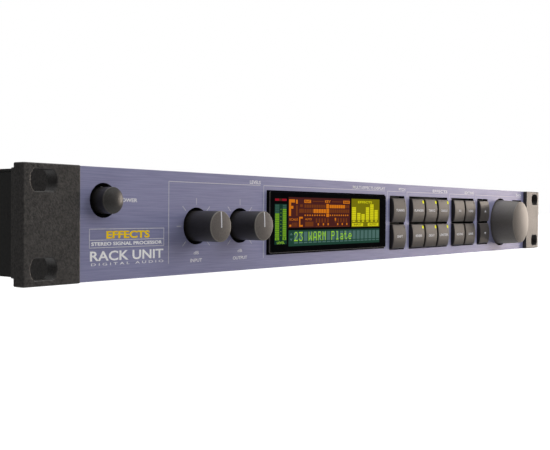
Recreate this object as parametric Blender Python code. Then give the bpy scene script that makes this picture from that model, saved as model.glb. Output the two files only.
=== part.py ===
"""A one-unit rack effects processor: panel, chassis, controls, display, boards and rear connectors.

Frame: metres, +Z up, +X to the right seen from the front, the front facing -Y. The origin is the
middle of the bottom of the whole unit. Front pieces are modelled in a panel frame (x right, y up,
z towards the user, from the middle of the ears' front face) and turned into place. Rear pieces use
the same frame turned round to face +Y.
"""

import math

import bmesh
import bpy
from mathutils import Matrix, Vector

MM = 0.001

# Whole unit
WIDTH = 482.6 * MM  # the 19 inch rack width
HEIGHT = 44.0 * MM
DEPTH = 208.5 * MM  # wheel front to phono socket tip
GAP = 0.3 * MM  # clearance between pieces that touch on the real unit

# Front panel, depths counted back from the ears' front face
EAR_WIDTH = 25.1 * MM
EAR_THICK = 6.0 * MM
EAR_LEG_THICK = 4.0 * MM
EAR_LEG_DEPTH = 38.0 * MM
RACK_PITCH_X = 465.1 * MM
RACK_PITCH_Z = 31.75 * MM
RACK_SLOT_WIDTH = 11.3 * MM
RACK_SLOT_HEIGHT = 7.8 * MM
PLATE_RECESS = 2.4 * MM
PLATE_THICK = 2.0 * MM
PLATE_EASE = 0.1 * MM  # short of the ears at its top and bottom
SHEET = 1.2 * MM  # steel of the chassis

# Controls, x from the middle, up from mid-height, proud of the ears' front face
CONTROL_UP = -1.25 * MM
POWER_X, POWER_UP = -203.2 * MM, 9.1 * MM
POWER_RADIUS, POWER_HOLE, POWER_PROUD = 5.15 * MM, 6.75 * MM, 4.5 * MM
POWER_TRAVEL, POWER_BACK, POWER_DOME = 3.5 * MM, -9.0 * MM, 1.1 * MM
KNOB_XS = {"input": -151.3 * MM, "output": -122.2 * MM}
KNOB_RADIUS, KNOB_HOLE, KNOB_PROUD = 6.6 * MM, 8.0 * MM, 11.9 * MM
KNOB_WALL, KNOB_FACE, KNOB_EDGE = 1.4 * MM, 3.0 * MM, 0.3 * MM  # side, front above the bore, chamfer
WHEEL_X = 172.1 * MM
WHEEL_RADIUS, WHEEL_BASE_RADIUS = 14.75 * MM, 16.1 * MM
WHEEL_HOLE, WHEEL_PROUD = 17.2 * MM, 14.6 * MM
WHEEL_WALL, WHEEL_FACE, WHEEL_EDGE = 2.0 * MM, 4.0 * MM, 0.4 * MM
HUB_BACK = -0.5 * MM  # where the hub inside a knob ends
SHAFT_RADIUS, BUSH_RADIUS = 3.0 * MM, 4.5 * MM
SHAFT_TAIL = 1.4 * MM  # from the control board to the shaft's end
ROTARY_HALF, POWER_SWITCH_DEPTH = 8.0 * MM, 16.0 * MM
LENS_LEFT, LENS_RIGHT = -102.3 * MM, 6.8 * MM
LENS_TOP, LENS_BOTTOM = 15.2 * MM, -15.3 * MM
LENS_PROUD, LENS_CHAMFER = -1.0 * MM, 0.7 * MM
LENS_LAP_X, LENS_LAP_UP = 4.0 * MM, 3.0 * MM  # how far the wall behind laps the lens

# Push buttons: groups of two rows, each group in one window
BUTTON_PITCH_X, BUTTON_PITCH_UP = 16.75 * MM, 15.5 * MM
BUTTON_WIDTH, BUTTON_HEIGHT = 14.9 * MM, 14.35 * MM
BUTTON_BULGE = 1.1 * MM
BUTTON_PROUD = -0.1 * MM
BUTTON_BACK = -8.0 * MM
BUTTON_TRAVEL = 1.0 * MM
STEM_HALF, STEM_LENGTH, PUSH_SWITCH_HALF = 2.0 * MM, 1.5 * MM, 3.0 * MM
WINDOW_MARGIN = 0.35 * MM
WINDOW_HEIGHT = 32.6 * MM
BUTTON_GROUPS = {  # left edge of the window, and how many columns it holds
    "pitch": (12.9 * MM, 1),
    "effect": (36.0 * MM, 3),
    "edit": (92.6 * MM, 2),
    "arrow": (132.45 * MM, 1),
    "enter": (194.1 * MM, 1),
}

# Boards behind the panel, depths counted back from the ears' front face
INNER_FRONT = 6.2 * MM  # just behind the chassis front wall
BOARD_FRONT, BOARD_THICK = 14.0 * MM, 1.6 * MM
BOARD_HEIGHT = 7.0 * MM  # underside of the flat boards above the bench
CONTROL_BOARD_LEFT, CONTROL_BOARD_RIGHT, CONTROL_BOARD_HALF = -168.0 * MM, 212.0 * MM, 17.0 * MM
TRANSFORMER_X, TRANSFORMER_DEPTH = -150.0 * MM, 62.0 * MM

# Rear connectors: x of each, all at mid-height
REAR_PROUD = 8.5 * MM  # phono barrels behind the rear panel
INLET_X = -180.0 * MM
MIDI_XS = {"in": -62.0 * MM, "out": -38.0 * MM, "thru": -14.0 * MM}
JACK_XS = {
    "pedal": 22.0 * MM,
    "output_right": 112.0 * MM,
    "output_left": 138.0 * MM,
    "input_right": 168.0 * MM,
    "input_left": 194.0 * MM,
}
PHONO_XS = {"in": 58.0 * MM, "out": 78.0 * MM}
HOLE_CLEARANCE = 0.4 * MM  # round each connector in the rear panel
INLET_FLANGE = (25.0 * MM, 11.5 * MM, 3.0 * MM)  # half width, half height, thickness
INLET_BODY = (13.8 * MM, 10.3 * MM, 15.0 * MM)  # half width, half height, depth
INLET_RECESS_DEPTH, INLET_BLADE_DEPTH = 13.0 * MM, 14.0 * MM
JACK_BODY = (8.0 * MM, 10.0 * MM, 28.0 * MM)
JACK_BORE, JACK_BARREL, JACK_NUT = 3.25 * MM, 5.6 * MM, 7.5 * MM
JACK_BARREL_PROUD, JACK_NUT_PROUD = 4.3 * MM, 2.5 * MM
MIDI_BODY = (10.0 * MM, 10.0 * MM, 14.0 * MM)
MIDI_NOSE, MIDI_PROUD, MIDI_RECESS_DEPTH = 7.5 * MM, 0.5 * MM, 9.0 * MM
MIDI_RING = (6.9 * MM, 4.9 * MM)
MIDI_PIN_CIRCLE, MIDI_PIN = 3.3 * MM, 0.8 * MM
PHONO_BARREL, PHONO_BORE, PHONO_BASE, PHONO_DEPTH = 4.2 * MM, 1.7 * MM, 7.0 * MM, 8.0 * MM
PHONO_LIP, PHONO_FLOOR = 0.6 * MM, 2.0 * MM

# Fasteners, their tabs and the cooling slots
SCREW_RADIUS, SCREW_HEAD = 1.5 * MM, 3.0 * MM
EAR_SCREW_DEPTHS, EAR_SCREW_LENGTH = (16.0 * MM, 32.0 * MM), 7.0 * MM
COVER_SCREW_X, COVER_SCREW_DEPTHS = 206.0 * MM, (44.0 * MM, 168.0 * MM)
COVER_SCREW_LENGTH, COUNTERSINK, TAB_HALF = 6.0 * MM, 1.5 * MM, 6.0 * MM
VENT_ROWS, VENT_PITCH, VENT_HEIGHT, VENT_LOWEST = 6, 4.0 * MM, 2.0 * MM, -10.0 * MM
VENT_FRONT, VENT_BACK = 60.0 * MM, 25.0 * MM  # ends of the slots, ahead of the rear panel

# Worked out from the values above
FRONT_Y = WHEEL_PROUD - DEPTH / 2
MID_Z = HEIGHT / 2
PLATE_WIDTH = WIDTH - 2 * EAR_WIDTH - 2 * GAP
WALL_FRONT = PLATE_RECESS + PLATE_THICK + GAP
CHASSIS_HALF = PLATE_WIDTH / 2
REAR_Y = DEPTH / 2 - REAR_PROUD  # outer face of the rear panel
CHASSIS_TOP = HEIGHT - 1.6 * MM
FACE_FRONT = (math.pi / 2, 0, 0)
FACE_REAR = (math.pi / 2, 0, math.pi)

# Colours, roughness and metallic of each finish
FINISHES = {
    "black_paint": ((0.030, 0.028, 0.027), 0.55, 0.0),
    "plate_blue": ((0.22, 0.22, 0.33), 0.38, 0.9),
    "cap_grey": ((0.16, 0.145, 0.135), 0.42, 0.0),
    "knob_black": ((0.035, 0.033, 0.032), 0.38, 0.0),
    "lens_black": ((0.008, 0.008, 0.009), 0.08, 0.0),
    "steel": ((0.55, 0.55, 0.56), 0.35, 1.0),
    "board_green": ((0.03, 0.16, 0.07), 0.45, 0.0),
    "inner_plastic": ((0.05, 0.05, 0.055), 0.5, 0.0),
    "winding": ((0.45, 0.36, 0.08), 0.45, 0.0),
    "cable_grey": ((0.35, 0.35, 0.36), 0.5, 0.0),
    "brass": ((0.75, 0.58, 0.25), 0.3, 1.0),
}


def clear_scene():
    for thing in list(bpy.data.objects):
        bpy.data.objects.remove(thing, do_unlink=True)


def finish_material(node, finish):
    colour, roughness, metallic = FINISHES[finish]
    material = bpy.data.materials.new(node + "_" + finish)
    material.use_nodes = True
    shader = material.node_tree.nodes["Principled BSDF"]
    shader.inputs["Base Color"].default_value = (*colour, 1)
    shader.inputs["Roughness"].default_value = roughness
    shader.inputs["Metallic"].default_value = metallic
    return material


def add_box(bm, low, high):
    low, high = Vector(low), Vector(high)
    place = Matrix.Translation((low + high) / 2) @ Matrix.Diagonal((*(high - low), 1))
    bmesh.ops.create_cube(bm, size=1, matrix=place)


def add_disc(bm, x, y, low, high, radius, segments=24):
    place = Matrix.Translation((x, y, (low + high) / 2))
    bmesh.ops.create_cone(bm, cap_ends=True, segments=segments, radius1=radius,
                          radius2=radius, depth=high - low, matrix=place)


def add_prism(bm, outline, low, high):
    """An outline of x, y points, run anticlockwise, extruded from z low to z high."""
    base = bm.faces.new([bm.verts.new((x, y, low)) for x, y in outline])
    raised = bmesh.ops.extrude_face_region(bm, geom=[base])["geom"]
    points = [item for item in raised if isinstance(item, bmesh.types.BMVert)]
    bmesh.ops.translate(bm, verts=points, vec=(0, 0, high - low))
    bmesh.ops.recalc_face_normals(bm, faces=bm.faces)


def place_object(name, mesh, location, rotation):
    thing = bpy.data.objects.new(name, mesh)
    thing.location = location
    thing.rotation_euler = rotation
    bpy.context.collection.objects.link(thing)
    return thing


def solid(name, bm, finish, location=(0, 0, 0), rotation=(0, 0, 0)):
    mesh = bpy.data.meshes.new(name)
    bm.to_mesh(mesh)
    bm.free()
    mesh.materials.append(finish_material(name, finish))
    return place_object(name, mesh, location, rotation)


def panel_solid(name, bm, finish, x=0.0, up=0.0):
    return solid(name, bm, finish, (x, FRONT_Y, MID_Z + up), FACE_FRONT)


def rear_solid(name, bm, finish, x=0.0, up=0.0):
    return solid(name, bm, finish, (x, REAR_Y, MID_Z + up), FACE_REAR)


def combine(target, bm, operation):
    """Cuts the shapes in bm from the target, or joins them to it, in the target's own frame."""
    name = target.name + "_" + operation.lower()
    mesh = bpy.data.meshes.new(name)
    bm.to_mesh(mesh)
    bm.free()
    tool = place_object(name, mesh, (0, 0, 0), (0, 0, 0))
    tool.parent = target
    tool.hide_render = True
    tool.display_type = "WIRE"
    modifier = target.modifiers.new(operation.lower(), "BOOLEAN")
    modifier.operation = operation
    modifier.solver = "EXACT"
    modifier.object = tool


def turned(name, profile, finish, location, rotation, steps=32):
    """Turns a profile of radius, height points about the object's z axis, listed down its outside."""
    mesh = bpy.data.meshes.new(name)
    points = [(radius, 0, height) for radius, height in profile]
    mesh.from_pydata(points, [(i, i + 1) for i in range(len(points) - 1)], [])
    mesh.materials.append(finish_material(name, finish))
    thing = place_object(name, mesh, location, rotation)
    screw = thing.modifiers.new("turn", "SCREW")
    screw.steps = steps
    screw.render_steps = steps
    screw.use_merge_vertices = True
    screw.merge_threshold = 0.00001
    screw.use_smooth_shade = True
    return thing


def window_spans():
    """The left and right edges of each button window, by group."""
    spans = {}
    for group, (left, columns) in BUTTON_GROUPS.items():
        spans[group] = (left, left + columns * BUTTON_PITCH_X + WINDOW_MARGIN)
    return spans


def button_places():
    """Every button's name and its centre across and up the panel."""
    places = {}
    for group, (left, columns) in BUTTON_GROUPS.items():
        for column in range(columns):
            x = left + WINDOW_MARGIN / 2 + (column + 0.5) * BUTTON_PITCH_X
            for row, side in (("upper", 1), ("lower", -1)):
                name = f"{group}_button_{column + 1}_{row}"
                places[name] = (x, CONTROL_UP + side * BUTTON_PITCH_UP / 2)
    return places


def slot_outline(x, y):
    """A rack slot: a circle with a flat at its top and bottom."""
    radius, half_height = RACK_SLOT_WIDTH / 2, RACK_SLOT_HEIGHT / 2
    reach = math.asin(half_height / radius)
    points = []
    for middle in (0, math.pi):
        for step in range(7):
            angle = middle - reach + 2 * reach * step / 6
            points.append((x + radius * math.cos(angle), y + radius * math.sin(angle)))
    return points


def ears():
    for name, side in (("left_ear", -1), ("right_ear", 1)):
        inner, outer = CHASSIS_HALF + GAP, WIDTH / 2
        leg_outer = inner + EAR_LEG_THICK
        outline = [(inner, 0), (outer, 0), (outer, -EAR_THICK), (leg_outer, -EAR_THICK),
                   (leg_outer, -EAR_LEG_DEPTH), (inner, -EAR_LEG_DEPTH)]
        outline = [(side * x, z) for x, z in outline]
        bm = bmesh.new()
        add_prism(bm, outline, -HEIGHT / 2, HEIGHT / 2)
        bmesh.ops.rotate(bm, verts=bm.verts, matrix=Matrix.Rotation(math.pi / 2, 3, "X"))
        ear = panel_solid(name, bm, "black_paint")
        slots = bmesh.new()
        for up in (-RACK_PITCH_Z / 2, RACK_PITCH_Z / 2):
            add_prism(slots, slot_outline(side * RACK_PITCH_X / 2, up), -EAR_THICK - MM, MM)
        combine(ear, slots, "DIFFERENCE")
        holes = bmesh.new()
        for depth in EAR_SCREW_DEPTHS:
            add_disc(holes, 0, depth, inner - MM, leg_outer + MM, SCREW_RADIUS + GAP, 16)
        bmesh.ops.rotate(holes, verts=holes.verts, matrix=Matrix.Rotation(math.pi / 2, 3, "Y"))
        bmesh.ops.rotate(holes, verts=holes.verts, matrix=Matrix.Rotation(-math.pi / 2, 3, "X"))
        bmesh.ops.scale(holes, verts=holes.verts, vec=(side, 1, 1))
        bmesh.ops.recalc_face_normals(holes, faces=holes.faces)
        combine(ear, holes, "DIFFERENCE")


def add_panel_openings(bm, low, high, clearance=0.0):
    """The windows of the display and the buttons, from depth low to high."""
    middle = CONTROL_UP
    for left, right in window_spans().values():
        add_box(bm, (left, middle - WINDOW_HEIGHT / 2, low), (right, middle + WINDOW_HEIGHT / 2, high))
    add_box(bm, (LENS_LEFT - clearance, LENS_BOTTOM - clearance, low),
            (LENS_RIGHT + clearance, LENS_TOP + clearance, high))


def front_plate():
    bm = bmesh.new()
    add_box(bm, (-PLATE_WIDTH / 2, -HEIGHT / 2 + PLATE_EASE, -PLATE_RECESS - PLATE_THICK),
            (PLATE_WIDTH / 2, HEIGHT / 2 - PLATE_EASE, -PLATE_RECESS))
    plate = panel_solid("front_plate", bm, "plate_blue")
    cutter = bmesh.new()
    low, high = -WALL_FRONT, 0
    add_panel_openings(cutter, low, high, GAP)
    add_disc(cutter, POWER_X, POWER_UP, low, high, POWER_HOLE, 32)
    add_disc(cutter, WHEEL_X, CONTROL_UP, low, high, WHEEL_HOLE, 48)
    for x in KNOB_XS.values():
        add_disc(cutter, x, CONTROL_UP, low, high, KNOB_HOLE, 32)
    combine(plate, cutter, "DIFFERENCE")


def chassis_pan():
    """The floor and both side walls, with tabs that take the cover's screws."""
    front, back = FRONT_Y + WALL_FRONT, REAR_Y - SHEET - GAP
    bm = bmesh.new()
    add_box(bm, (-CHASSIS_HALF, front, 0), (CHASSIS_HALF, back, CHASSIS_TOP))
    pan = solid("chassis_pan", bm, "black_paint")
    inside = bmesh.new()
    half = CHASSIS_HALF - SHEET
    add_box(inside, (-half, front - MM, SHEET), (half, back + MM, CHASSIS_TOP + MM))
    combine(pan, inside, "DIFFERENCE")
    tabs, holes = bmesh.new(), bmesh.new()
    for side in (-1, 1):
        for depth in COVER_SCREW_DEPTHS:
            x, y = side * COVER_SCREW_X, FRONT_Y + depth
            inner, outer = sorted((x - side * TAB_HALF, side * (CHASSIS_HALF - SHEET / 2)))
            add_box(tabs, (inner, y - TAB_HALF, CHASSIS_TOP - SHEET), (outer, y + TAB_HALF, CHASSIS_TOP))
            add_disc(holes, x, y, CHASSIS_TOP - 4 * MM, CHASSIS_TOP + MM, SCREW_RADIUS + GAP, 16)
    combine(pan, tabs, "UNION")
    combine(pan, holes, "DIFFERENCE")
    combine(pan, side_cutters(), "DIFFERENCE")


def sub_panel():
    """The steel wall behind the front plate, which carries the display and the rotary controls."""
    half, low, high = CHASSIS_HALF - SHEET - GAP, -WALL_FRONT - SHEET, -WALL_FRONT
    bm = bmesh.new()
    add_box(bm, (-half, SHEET + GAP - MID_Z, low), (half, CHASSIS_TOP - MID_Z, high))
    panel = panel_solid("sub_panel", bm, "black_paint")
    cutter = bmesh.new()
    low, high = low - MM, high + MM
    for left, right in window_spans().values():
        add_box(cutter, (left, CONTROL_UP - WINDOW_HEIGHT / 2, low),
                (right, CONTROL_UP + WINDOW_HEIGHT / 2, high))
    add_box(cutter, (LENS_LEFT + LENS_LAP_X, LENS_BOTTOM + LENS_LAP_UP, low),
            (LENS_RIGHT - LENS_LAP_X, LENS_TOP - LENS_LAP_UP, high))
    add_disc(cutter, POWER_X, POWER_UP, low, high, POWER_RADIUS + 2 * GAP)
    for x in (*KNOB_XS.values(), WHEEL_X):
        add_disc(cutter, x, CONTROL_UP, low, high, BUSH_RADIUS + GAP)
    combine(panel, cutter, "DIFFERENCE")


def side_cutters():
    """The ear screws' holes and the cooling slots, through both side walls."""
    bm = bmesh.new()
    for side in (-1, 1):
        wall = side * (CHASSIS_HALF - SHEET / 2)
        for depth in EAR_SCREW_DEPTHS:
            place = Matrix.Translation((wall, FRONT_Y + depth, MID_Z))
            turn = Matrix.Rotation(math.pi / 2, 4, "Y")
            bmesh.ops.create_cone(bm, cap_ends=True, segments=16, radius1=SCREW_RADIUS + GAP,
                                  radius2=SCREW_RADIUS + GAP, depth=4 * MM, matrix=place @ turn)
        for row in range(VENT_ROWS):
            up = MID_Z + VENT_LOWEST + row * VENT_PITCH
            add_box(bm, (wall - 2 * MM, REAR_Y - VENT_FRONT, up - VENT_HEIGHT / 2),
                    (wall + 2 * MM, REAR_Y - VENT_BACK, up + VENT_HEIGHT / 2))
    return bm


def top_cover():
    low, high = CHASSIS_TOP + GAP, HEIGHT - GAP / 2
    bm = bmesh.new()
    add_box(bm, (-CHASSIS_HALF, FRONT_Y + WALL_FRONT, low), (CHASSIS_HALF, REAR_Y, high))
    cover = solid("top_cover", bm, "black_paint")
    holes = bmesh.new()
    for side in (-1, 1):
        for depth in COVER_SCREW_DEPTHS:
            place = Matrix.Translation((side * COVER_SCREW_X, FRONT_Y + depth, (low + high) / 2))
            bmesh.ops.create_cone(holes, cap_ends=True, segments=16, radius1=SCREW_RADIUS + GAP,
                                  radius2=SCREW_HEAD + 2 * GAP, depth=high - low + GAP, matrix=place)
    combine(cover, holes, "DIFFERENCE")


def rear_panel():
    bm = bmesh.new()
    half_height = CHASSIS_TOP / 2
    offset = half_height - MID_Z
    add_box(bm, (-CHASSIS_HALF, offset - half_height, -SHEET),
            (CHASSIS_HALF, offset + half_height, 0))
    panel = rear_solid("rear_panel", bm, "black_paint")
    cutter = bmesh.new()
    low, high = -SHEET - MM, MM
    half_width, half_height, _ = (size + HOLE_CLEARANCE for size in INLET_BODY)
    add_box(cutter, (-INLET_X - half_width, -half_height, low), (-INLET_X + half_width, half_height, high))
    for places, radius in ((MIDI_XS, MIDI_NOSE), (JACK_XS, JACK_BARREL), (PHONO_XS, PHONO_BARREL)):
        for x in places.values():
            add_disc(cutter, -x, 0, low, high, radius + HOLE_CLEARANCE)
    combine(panel, cutter, "DIFFERENCE")


def display():
    bm = bmesh.new()
    add_box(bm, (LENS_LEFT, LENS_BOTTOM, -PLATE_RECESS - PLATE_THICK), (LENS_RIGHT, LENS_TOP, LENS_PROUD))
    front = [edge for edge in bm.edges if all(v.co.z > LENS_PROUD - GAP for v in edge.verts)]
    bmesh.ops.bevel(bm, geom=front, offset=LENS_CHAMFER, segments=1, affect="EDGES")
    panel_solid("display_lens", bm, "lens_black")
    bm = bmesh.new()
    add_box(bm, (LENS_LEFT, LENS_BOTTOM - MM, -BOARD_FRONT + GAP), (LENS_RIGHT, LENS_TOP + MM, -INNER_FRONT))
    panel_solid("display_module", bm, "inner_plastic")


def power_control():
    edge = POWER_PROUD - POWER_DOME
    rise = [(POWER_RADIUS * math.sin(a), edge + POWER_DOME * math.cos(a))
            for a in (step * math.pi / 10 for step in range(5))]
    profile = rise + [(POWER_RADIUS, edge), (POWER_RADIUS, POWER_BACK), (0, POWER_BACK)]
    place = (POWER_X, FRONT_Y, MID_Z + POWER_UP)
    turned("power_button", profile, "knob_black", place, FACE_FRONT)
    bm = bmesh.new()
    front = POWER_BACK - POWER_TRAVEL - 2 * GAP
    add_box(bm, (-ROTARY_HALF, -ROTARY_HALF, front - POWER_SWITCH_DEPTH), (ROTARY_HALF, ROTARY_HALF, front))
    panel_solid("power_switch", bm, "inner_plastic", POWER_X, POWER_UP)


def rotary(name, x, bore_top):
    """The turning shaft and the part that it turns in, behind the panel."""
    back = -BOARD_FRONT + SHAFT_TAIL
    profile = [(0, bore_top - GAP), (SHAFT_RADIUS, bore_top - GAP), (SHAFT_RADIUS, back), (0, back)]
    place = (x, FRONT_Y, MID_Z + CONTROL_UP)
    turned(f"{name}_shaft", profile, "steel", place, FACE_FRONT, 24)
    bm = bmesh.new()
    add_box(bm, (-ROTARY_HALF, -ROTARY_HALF, -BOARD_FRONT + GAP), (ROTARY_HALF, ROTARY_HALF, -INNER_FRONT))
    body = panel_solid(f"{name}_rotary", bm, "inner_plastic", x, CONTROL_UP)
    bush = bmesh.new()
    add_disc(bush, 0, 0, -INNER_FRONT - MM, -MM, BUSH_RADIUS)
    combine(body, bush, "UNION")
    bore = bmesh.new()
    add_disc(bore, 0, 0, back - GAP, MM, SHAFT_RADIUS + GAP)
    combine(body, bore, "DIFFERENCE")


def knob(name, x):
    back, bore_top, bore = -WALL_FRONT + GAP, KNOB_PROUD - KNOB_FACE, SHAFT_RADIUS + GAP
    cavity = KNOB_RADIUS - KNOB_WALL
    profile = [(0, KNOB_PROUD), (KNOB_RADIUS - KNOB_EDGE, KNOB_PROUD),
               (KNOB_RADIUS, KNOB_PROUD - KNOB_EDGE), (KNOB_RADIUS, back), (cavity, back),
               (cavity, HUB_BACK), (bore, HUB_BACK), (bore, bore_top), (0, bore_top)]
    turned(f"{name}_knob", profile, "knob_black", (x, FRONT_Y, MID_Z + CONTROL_UP), FACE_FRONT)
    rotary(name, x, bore_top)


def data_wheel():
    back, bore_top, bore = -WALL_FRONT + GAP, WHEEL_PROUD - WHEEL_FACE, SHAFT_RADIUS + GAP
    cavity = WHEEL_BASE_RADIUS - WHEEL_WALL
    profile = [(0, WHEEL_PROUD), (WHEEL_RADIUS - WHEEL_EDGE, WHEEL_PROUD),
               (WHEEL_RADIUS, WHEEL_PROUD - WHEEL_EDGE), (WHEEL_BASE_RADIUS, back), (cavity, back),
               (cavity, HUB_BACK), (bore, HUB_BACK), (bore, bore_top), (0, bore_top)]
    place = (WHEEL_X, FRONT_Y, MID_Z + CONTROL_UP)
    turned("data_wheel", profile, "knob_black", place, FACE_FRONT, 48)
    rotary("wheel", WHEEL_X, bore_top)


def buttons():
    """Keys with a cap that bulges between its top and bottom edges, and a stem behind."""
    half = BUTTON_HEIGHT / 2
    radius = (half * half + BUTTON_BULGE * BUTTON_BULGE) / (2 * BUTTON_BULGE)
    reach = math.asin(half / radius)
    arc = []
    for step in range(9):
        angle = -reach + 2 * reach * step / 8
        arc.append((BUTTON_PROUD - radius + radius * math.cos(angle), radius * math.sin(angle)))
    outline = [(BUTTON_BACK, -half), *arc, (BUTTON_BACK, half)]
    turn = Matrix.Rotation(-math.pi / 2, 3, "Y")
    for name, (x, up) in button_places().items():
        bm = bmesh.new()
        add_prism(bm, outline, -BUTTON_WIDTH / 2, BUTTON_WIDTH / 2)
        bmesh.ops.rotate(bm, verts=bm.verts, matrix=turn)
        button = panel_solid(name, bm, "cap_grey", x, up)
        stem = bmesh.new()
        add_box(stem, (-STEM_HALF, -STEM_HALF, BUTTON_BACK - STEM_LENGTH),
                (STEM_HALF, STEM_HALF, BUTTON_BACK + MM))
        combine(button, stem, "UNION")


def control_board():
    """The board behind the panel, with a small push switch behind every button."""
    bm = bmesh.new()
    add_box(bm, (CONTROL_BOARD_LEFT, -CONTROL_BOARD_HALF, -BOARD_FRONT - BOARD_THICK),
            (CONTROL_BOARD_RIGHT, CONTROL_BOARD_HALF, -BOARD_FRONT))
    board = panel_solid("control_board", bm, "board_green")
    switches = bmesh.new()
    half, front = PUSH_SWITCH_HALF, BUTTON_BACK - STEM_LENGTH - BUTTON_TRAVEL - 2 * GAP
    for x, up in button_places().values():
        add_box(switches, (x - half, up - half, -BOARD_FRONT - 0.5 * MM), (x + half, up + half, front))
    combine(board, switches, "UNION")


def flat_board(name, low, high, chips):
    """A board lying over the chassis floor; each chip is x, y, its sizes across and along, its height."""
    top = BOARD_HEIGHT + BOARD_THICK
    bm = bmesh.new()
    add_box(bm, (*low, BOARD_HEIGHT), (*high, top))
    board = solid(name, bm, "board_green")
    parts = bmesh.new()
    for x, y, across, along, height in chips:
        add_box(parts, (x - across / 2, y - along / 2, top - 0.5 * MM),
                (x + across / 2, y + along / 2, top + height))
    combine(board, parts, "UNION")


def boards():
    chips = [(20, -5, 22, 22, 2), (60, -5, 22, 22, 2), (100, 0, 14, 18, 2), (130, 0, 14, 18, 2),
             (-40, 5, 12, 16, 8), (165, 10, 20, 30, 3), (35, -27, 34, 8, 1.2)]
    flat_board("main_board", (-78 * MM, -30 * MM), (208 * MM, 70 * MM),
               [tuple(value * MM for value in chip) for chip in chips])
    chips = [(-195, 32, 12, 30, 24), (-150, 30, 18, 18, 22), (-125, 30, 18, 18, 22), (-102, 35, 8, 40, 20)]
    flat_board("supply_board", (-208 * MM, 10 * MM), (-90 * MM, 56 * MM),
               [tuple(value * MM for value in chip) for chip in chips])


def transformer():
    radius, hole, height, corner = 31 * MM, 9 * MM, 30 * MM, 7 * MM
    profile = [(hole + corner, height), (radius - corner, height), (radius, height - corner),
               (radius, corner), (radius - corner, 0), (hole + corner, 0), (hole, corner),
               (hole, height - corner), (hole + corner, height)]
    place = (TRANSFORMER_X, FRONT_Y + TRANSFORMER_DEPTH, SHEET + GAP)
    turned("transformer", profile, "winding", place, (0, 0, 0))


def ribbon_cable():
    """A flat cable from the back of the control board to the front of the main board."""
    start = FRONT_Y + BOARD_FRONT + BOARD_THICK + GAP
    path = [(start, 14 * MM), (start + 7 * MM, 14 * MM), (-50 * MM, 11.4 * MM), (-23 * MM, 11.4 * MM)]
    thick = 0.8 * MM
    outline = path + [(y, z - thick) for y, z in reversed(path)]
    bm = bmesh.new()
    add_prism(bm, outline, 20 * MM, 50 * MM)
    turn = Matrix(((0, 0, 1), (1, 0, 0), (0, 1, 0)))
    bmesh.ops.rotate(bm, verts=bm.verts, matrix=turn)
    solid("ribbon_cable", bm, "cable_grey")


def mains_inlet():
    """A flange with a keyed recess, and the three blades standing in it."""
    bm = bmesh.new()
    half_width, half_height, thick = INLET_FLANGE
    add_box(bm, (-half_width, -half_height, GAP), (half_width, half_height, thick))
    inlet = rear_solid("mains_inlet", bm, "inner_plastic", INLET_X)
    body = bmesh.new()
    half_width, half_height, depth = INLET_BODY
    add_box(body, (-half_width, -half_height, -depth), (half_width, half_height, MM))
    combine(inlet, body, "UNION")
    recess = bmesh.new()
    outline = [(-12.2, -8.3), (12.2, -8.3), (12.2, 4), (8, 8.3), (-8, 8.3), (-12.2, 4)]
    add_prism(recess, [(x * MM, y * MM) for x, y in outline], -INLET_RECESS_DEPTH, INLET_FLANGE[2] + MM)
    combine(inlet, recess, "DIFFERENCE")
    blades = bmesh.new()
    for x, y in ((-7, -1.5), (7, -1.5), (0, 3)):
        add_box(blades, ((x - 1) * MM, (y - 2) * MM, -INLET_BLADE_DEPTH), ((x + 1) * MM, (y + 2) * MM, 0))
    combine(inlet, blades, "UNION")


def socket_body(name, x, size):
    """The block behind the rear panel that a socket is built on."""
    half_width, half_height, depth = size
    bm = bmesh.new()
    add_box(bm, (-half_width, -half_height, -depth), (half_width, half_height, -SHEET - GAP))
    return rear_solid(name, bm, "inner_plastic", x)


def rear_sockets():
    """Quarter-inch jacks with open backs, five-pin sockets and phono sockets."""
    for name, x in JACK_XS.items():
        jack = socket_body(f"{name}_jack", x, JACK_BODY)
        nut = bmesh.new()
        add_disc(nut, 0, 0, GAP, JACK_NUT_PROUD, JACK_NUT, 6)
        add_disc(nut, 0, 0, JACK_NUT_PROUD - 0.1 * MM, JACK_BARREL_PROUD, JACK_BARREL)
        add_disc(nut, 0, 0, -SHEET - MM, GAP + 0.1 * MM, JACK_BARREL)
        combine(jack, nut, "UNION")
        jack.modifiers[-1].use_self = True
        bore = bmesh.new()
        add_disc(bore, 0, 0, -JACK_BODY[2] - MM, JACK_BARREL_PROUD + MM, JACK_BORE)
        combine(jack, bore, "DIFFERENCE")
    for name, x in MIDI_XS.items():
        socket = socket_body(f"midi_{name}_socket", x, MIDI_BODY)
        nose = bmesh.new()
        add_disc(nose, 0, 0, -SHEET - MM, MIDI_PROUD, MIDI_NOSE)
        combine(socket, nose, "UNION")
        combine(socket, din_recess(), "DIFFERENCE")
    lip = PHONO_BARREL - PHONO_LIP
    for name, x in PHONO_XS.items():
        profile = [(lip, REAR_PROUD), (PHONO_BARREL, REAR_PROUD - PHONO_LIP), (PHONO_BARREL, -SHEET - GAP),
                   (PHONO_BASE, -SHEET - GAP), (PHONO_BASE, -PHONO_DEPTH), (0, -PHONO_DEPTH),
                   (0, PHONO_FLOOR - PHONO_DEPTH), (PHONO_BORE, PHONO_FLOOR - PHONO_DEPTH),
                   (PHONO_BORE, REAR_PROUD), (lip, REAR_PROUD)]
        turned(f"digital_{name}_socket", profile, "brass", (x, REAR_Y, MID_Z), FACE_REAR, 24)


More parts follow.
